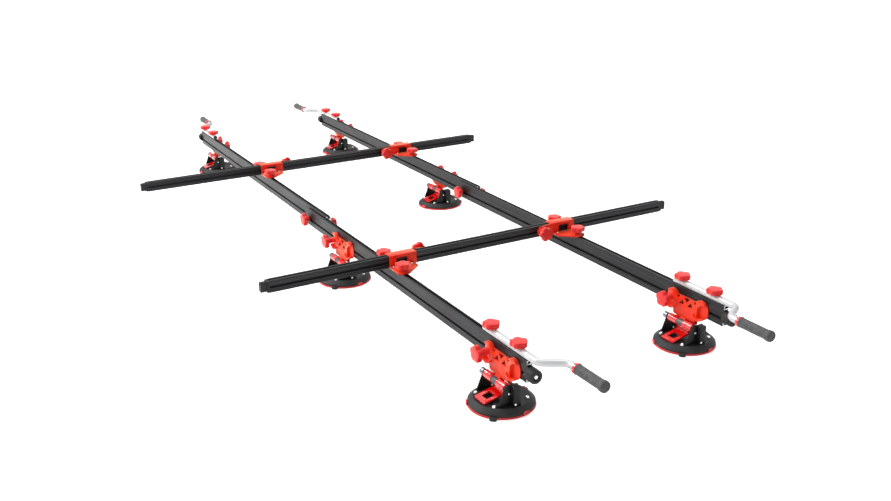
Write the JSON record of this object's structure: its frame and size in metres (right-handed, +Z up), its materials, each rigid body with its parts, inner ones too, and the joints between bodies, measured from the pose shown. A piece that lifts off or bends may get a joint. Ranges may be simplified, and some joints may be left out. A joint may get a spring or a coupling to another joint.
{
  "type": "slab carrying frame",
  "caption": "Carrying frame for large slabs: telescoping slotted rails on suction cups with release levers, crossbars held by saddle clamps, and a gripped handle at each rail end.",
  "frame": {"origin": "middle of the whole outline, on the floor that the suction pads stand on", "axes": "+X along the crossbars to the right, +Y along the rails, +Z up"},
  "size_m": [1.7204, 3.74, 0.2288],
  "materials": {
    "black_anodised": "satin",
    "bright_tube": "satin",
    "steel": "brushed",
    "black_steel": "satin",
    "black_plastic": "matte",
    "red_plastic": "satin",
    "red_gloss": "gloss",
    "red_rubber": "matte",
    "grip_rubber": "matte"
  },
  "bodies": {
    "front_frame": {"rail_left_front": "black_anodised", "rail_right_front": "black_anodised", "rail_buffers_front": "black_plastic", "handle_tubes_front": "bright_tube", "handle_grips_front": "grip_rubber", "rail_knobs_front": "red_plastic"},
    "rear_frame": {"rail_left_rear": "black_anodised", "rail_right_rear": "black_anodised", "rail_buffers_rear": "black_plastic", "handle_tubes_rear": "bright_tube", "handle_grips_rear": "grip_rubber", "rail_knobs_rear": "red_plastic"},
    "crossbar_front": {"crossbar_front": "black_anodised", "saddles_front": "red_plastic", "clamp_knobs_front": "red_plastic"},
    "crossbar_rear": {"crossbar_rear": "black_anodised", "saddles_rear": "red_plastic", "clamp_knobs_rear": "red_plastic"},
    "near_left_arm": {"near_left_arm": "red_plastic", "near_left_arm_knob": "red_plastic", "near_left_axle": "steel"},
    "near_left_cup": {"near_left_pad": "red_rubber", "near_left_disc": "black_plastic", "near_left_bracket": "black_steel"},
    "near_left_lever": {"near_left_lever": "red_gloss"},
    "mid_left_arm": {"mid_left_arm": "red_plastic", "mid_left_arm_knob": "red_plastic", "mid_left_axle": "steel"},
    "mid_left_cup": {"mid_left_pad": "red_rubber", "mid_left_disc": "black_plastic", "mid_left_bracket": "black_steel"},
    "mid_left_lever": {"mid_left_lever": "red_gloss"},
    "near_right_arm": {"near_right_arm": "red_plastic", "near_right_arm_knob": "red_plastic", "near_right_axle": "steel"},
    "near_right_cup": {"near_right_pad": "red_rubber", "near_right_disc": "black_plastic", "near_right_bracket": "black_steel"},
    "near_right_lever": {"near_right_lever": "red_gloss"},
    "far_left_arm": {"far_left_arm": "red_plastic", "far_left_arm_knob": "red_plastic", "far_left_axle": "steel"},
    "far_left_cup": {"far_left_pad": "red_rubber", "far_left_disc": "black_plastic", "far_left_bracket": "black_steel"},
    "far_left_lever": {"far_left_lever": "red_gloss"},
    "mid_right_arm": {"mid_right_arm": "red_plastic", "mid_right_arm_knob": "red_plastic", "mid_right_axle": "steel"},
    "mid_right_cup": {"mid_right_pad": "red_rubber", "mid_right_disc": "black_plastic", "mid_right_bracket": "black_steel"},
    "mid_right_lever": {"mid_right_lever": "red_gloss"},
    "far_right_arm": {"far_right_arm": "red_plastic", "far_right_arm_knob": "red_plastic", "far_right_axle": "steel"},
    "far_right_cup": {"far_right_pad": "red_rubber", "far_right_disc": "black_plastic", "far_right_bracket": "black_steel"},
    "far_right_lever": {"far_right_lever": "red_gloss"}
  },
  "joints": [
    {"name": "rail_extension", "type": "slide", "parent": "front_frame", "child": "rear_frame", "axis": [0, 1, 0], "range_m": [-0.4, 0.05]},
    {"name": "crossbar_front_slide", "type": "slide", "parent": "front_frame", "child": "crossbar_front", "axis": [0, 1, 0], "range_m": [-0.25, 0.25]},
    {"name": "crossbar_rear_slide", "type": "slide", "parent": "rear_frame", "child": "crossbar_rear", "axis": [0, 1, 0], "range_m": [-0.25, 0.25]},
    {"name": "near_left_arm_slide", "type": "slide", "parent": "front_frame", "child": "near_left_arm", "axis": [0, 1, 0], "range_m": [-0.01, 0.4]},
    {"name": "near_left_cup_tilt", "type": "hinge", "parent": "near_left_arm", "child": "near_left_cup", "pos_m": [-0.35485, -1.505, 0.075], "axis": [0, 1, 0], "range_deg": [-10, 10]},
    {"name": "near_left_lever_lift", "type": "hinge", "parent": "near_left_cup", "child": "near_left_lever", "pos_m": [-0.35485, -1.505, 0.075], "axis": [0, 1, 0], "range_deg": [0, 80]},
    {"name": "mid_left_arm_slide", "type": "slide", "parent": "front_frame", "child": "mid_left_arm", "axis": [0, 1, 0], "range_m": [-0.3, 0.15]},
    {"name": "mid_left_cup_tilt", "type": "hinge", "parent": "mid_left_arm", "child": "mid_left_cup", "pos_m": [-0.35485, -0.389, 0.075], "axis": [0, 1, 0], "range_deg": [-10, 10]},
    {"name": "mid_left_lever_lift", "type": "hinge", "parent": "mid_left_cup", "child": "mid_left_lever", "pos_m": [-0.35485, -0.389, 0.075], "axis": [0, 1, 0], "range_deg": [0, 80]},
    {"name": "near_right_arm_slide", "type": "slide", "parent": "front_frame", "child": "near_right_arm", "axis": [0, 1, 0], "range_m": [-0.04, 0.4]},
    {"name": "near_right_cup_tilt", "type": "hinge", "parent": "near_right_arm", "child": "near_right_cup", "pos_m": [0.36115, -1.47, 0.075], "axis": [0, 1, 0], "range_deg": [-10, 10]},
    {"name": "near_right_lever_lift", "type": "hinge", "parent": "near_right_cup", "child": "near_right_lever", "pos_m": [0.36115, -1.47, 0.075], "axis": [0, 1, 0], "range_deg": [0, 80]},
    {"name": "far_left_arm_slide", "type": "slide", "parent": "rear_frame", "child": "far_left_arm", "axis": [0, 1, 0], "range_m": [-0.4, 0.06]},
    {"name": "far_left_cup_tilt", "type": "hinge", "parent": "far_left_arm", "child": "far_left_cup", "pos_m": [-0.30565, 1.401, 0.075], "axis": [0, 1, 0], "range_deg": [-10, 10]},
    {"name": "far_left_lever_lift", "type": "hinge", "parent": "far_left_cup", "child": "far_left_lever", "pos_m": [-0.30565, 1.401, 0.075], "axis": [0, 1, 0], "range_deg": [0, 80]},
    {"name": "mid_right_arm_slide", "type": "slide", "parent": "rear_frame", "child": "mid_right_arm", "axis": [0, 1, 0], "range_m": [-0.15, 0.3]},
    {"name": "mid_right_cup_tilt", "type": "hinge", "parent": "mid_right_arm", "child": "mid_right_cup", "pos_m": [0.41035, 0.253, 0.075], "axis": [0, 1, 0], "range_deg": [-10, 10]},
    {"name": "mid_right_lever_lift", "type": "hinge", "parent": "mid_right_cup", "child": "mid_right_lever", "pos_m": [0.41035, 0.253, 0.075], "axis": [0, 1, 0], "range_deg": [0, 80]},
    {"name": "far_right_arm_slide", "type": "slide", "parent": "rear_frame", "child": "far_right_arm", "axis": [0, 1, 0], "range_m": [-0.4, 0.08]},
    {"name": "far_right_cup_tilt", "type": "hinge", "parent": "far_right_arm", "child": "far_right_cup", "pos_m": [0.41035, 1.427, 0.075], "axis": [0, 1, 0], "range_deg": [-10, 10]},
    {"name": "far_right_lever_lift", "type": "hinge", "parent": "far_right_cup", "child": "far_right_lever", "pos_m": [0.41035, 1.427, 0.075], "axis": [0, 1, 0], "range_deg": [0, 80]}
  ]
}
